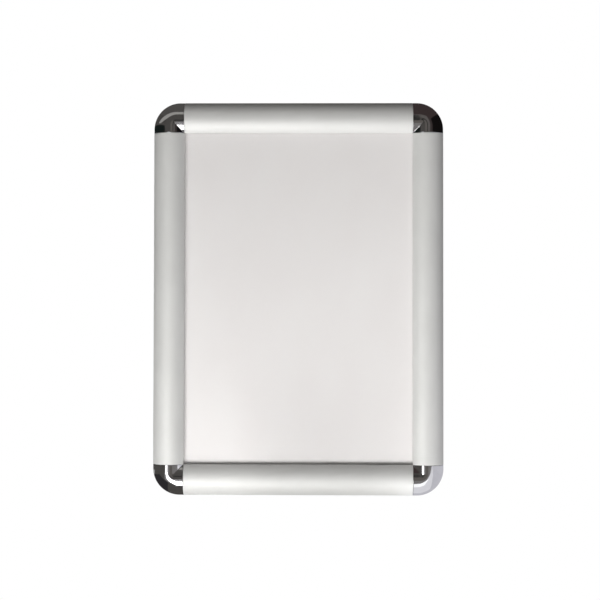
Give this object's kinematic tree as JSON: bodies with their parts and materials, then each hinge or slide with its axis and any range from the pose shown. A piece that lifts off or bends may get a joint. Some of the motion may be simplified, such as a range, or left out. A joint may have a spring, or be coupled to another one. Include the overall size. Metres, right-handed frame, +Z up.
{
  "type": "poster frame",
  "caption": "Upright snap-open poster frame with arched metal covers hinged at their outer edges, rounded corner caps, a clear cover sheet and a backing panel.",
  "frame": {"origin": "centre of the rear plane that lies on the wall", "axes": "+X to the right seen from the front, +Y from the front towards the wall, +Z up"},
  "size_m": [0.246, 0.012, 0.333],
  "materials": {
    "satin_aluminium": "satin anodised",
    "mill_aluminium": "mill finish",
    "chrome_plate": "polished chrome plating",
    "zinc_plated_steel": "zinc plated",
    "spring_steel": "blued spring steel",
    "white_polystyrene": "matt",
    "white_paper": "uncoated, blank",
    "clear_sheet": "clear, low glare"
  },
  "bodies": {
    "frame_base": {"bottom_base_rail": "mill_aluminium", "right_base_rail": "mill_aluminium", "top_base_rail": "mill_aluminium", "left_base_rail": "mill_aluminium", "bottom_left_cap": "chrome_plate", "bottom_right_cap": "chrome_plate", "top_right_cap": "chrome_plate", "top_left_cap": "chrome_plate", "bottom_left_connector": "zinc_plated_steel", "bottom_right_connector": "zinc_plated_steel", "top_right_connector": "zinc_plated_steel", "top_left_connector": "zinc_plated_steel", "bottom_left_cap_screw": "zinc_plated_steel", "bottom_right_cap_screw": "zinc_plated_steel", "top_right_cap_screw": "zinc_plated_steel", "top_left_cap_screw": "zinc_plated_steel", "bottom_set_screw_1": "zinc_plated_steel", "bottom_set_screw_2": "zinc_plated_steel", "right_set_screw_1": "zinc_plated_steel", "right_set_screw_2": "zinc_plated_steel", "top_set_screw_1": "zinc_plated_steel", "top_set_screw_2": "zinc_plated_steel", "left_set_screw_1": "zinc_plated_steel", "left_set_screw_2": "zinc_plated_steel", "bottom_leaf_spring_1": "spring_steel", "bottom_leaf_spring_2": "spring_steel", "right_leaf_spring_1": "spring_steel", "right_leaf_spring_2": "spring_steel", "top_leaf_spring_1": "spring_steel", "top_leaf_spring_2": "spring_steel", "left_leaf_spring_1": "spring_steel", "left_leaf_spring_2": "spring_steel", "backing_panel": "white_polystyrene", "blank_insert": "white_paper", "clear_cover_sheet": "clear_sheet"},
    "bottom_cover": {"bottom_front_cover": "satin_aluminium"},
    "right_cover": {"right_front_cover": "satin_aluminium"},
    "top_cover": {"top_front_cover": "satin_aluminium"},
    "left_cover": {"left_front_cover": "satin_aluminium"}
  },
  "joints": [
    {"name": "bottom_cover_hinge", "type": "hinge", "parent": "frame_base", "child": "bottom_cover", "pos_m": [0, -0.0039, -0.164], "axis": [1, 0, 0], "range_deg": [0, 95], "stiffness_Nm_per_rad": 0.2, "springref_deg": -28.65, "deforming": ["bottom_leaf_spring_1", "bottom_leaf_spring_2"]},
    {"name": "right_cover_hinge", "type": "hinge", "parent": "frame_base", "child": "right_cover", "pos_m": [0.1205, -0.0039, 0], "axis": [0, 0, 1], "range_deg": [0, 95], "stiffness_Nm_per_rad": 0.2, "springref_deg": -28.65, "deforming": ["right_leaf_spring_1", "right_leaf_spring_2"]},
    {"name": "top_cover_hinge", "type": "hinge", "parent": "frame_base", "child": "top_cover", "pos_m": [0, -0.0039, 0.164], "axis": [-1, 0, 0], "range_deg": [0, 95], "stiffness_Nm_per_rad": 0.2, "springref_deg": -28.65, "deforming": ["top_leaf_spring_1", "top_leaf_spring_2"]},
    {"name": "left_cover_hinge", "type": "hinge", "parent": "frame_base", "child": "left_cover", "pos_m": [-0.1205, -0.0039, 0], "axis": [0, 0, -1], "range_deg": [0, 95], "stiffness_Nm_per_rad": 0.2, "springref_deg": -28.65, "deforming": ["left_leaf_spring_1", "left_leaf_spring_2"]}
  ]
}
